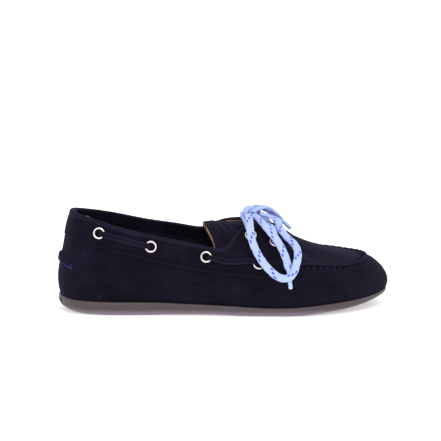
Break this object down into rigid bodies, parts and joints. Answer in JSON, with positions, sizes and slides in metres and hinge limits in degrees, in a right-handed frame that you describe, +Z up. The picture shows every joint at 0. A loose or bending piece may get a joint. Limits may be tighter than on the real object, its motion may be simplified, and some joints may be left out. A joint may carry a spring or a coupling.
{
  "type": "boat shoe",
  "caption": "Low right boat shoe: hollow suede upper with collar band, wings and raised apron seam, tongue, flat rubber sole, metal eyelets and a rope lace tied in a bow.",
  "frame": {"origin": "on the floor under the middle of the shoe's box, measured without the free lace", "axes": "+X to the toe, +Y to the inner side of the foot, +Z up"},
  "size_m": [0.2566, 0.0978, 0.0795],
  "materials": {
    "suede": "matt napped navy suede",
    "sole_rubber": "satin taupe rubber, paler at its lower edge",
    "insole_leather": "matt dark insole cover",
    "nickel": "polished nickel",
    "rope_lace": "braided pale blue lace with royal blue flecks",
    "aglet_plastic": "pale blue plastic sleeve"
  },
  "bodies": {
    "root": {"outsole": "sole_rubber", "insole": "insole_leather", "upper": "suede", "tongue": "suede", "heel_tab": "suede", "lace_bar_rear": "rope_lace", "lace_bar_front": "rope_lace", "eyelet_side_outer_1": "nickel", "eyelet_side_outer_2": "nickel", "eyelet_side_outer_3": "nickel", "eyelet_side_outer_4": "nickel", "eyelet_side_inner_1": "nickel", "eyelet_side_inner_2": "nickel", "eyelet_side_inner_3": "nickel", "eyelet_side_inner_4": "nickel", "eyelet_throat_outer_1": "nickel", "eyelet_throat_outer_2": "nickel", "eyelet_throat_inner_1": "nickel", "eyelet_throat_inner_2": "nickel", "thong_outer_1": "suede", "thong_outer_2": "suede", "thong_inner_1": "suede", "thong_inner_2": "suede", "lace_knot": "rope_lace", "lace_loop_near": "rope_lace", "lace_loop_far": "rope_lace", "lace_end_near": "rope_lace", "lace_end_far": "rope_lace", "aglet_near": "aglet_plastic", "aglet_far": "aglet_plastic"}
  },
  "joints": []
}
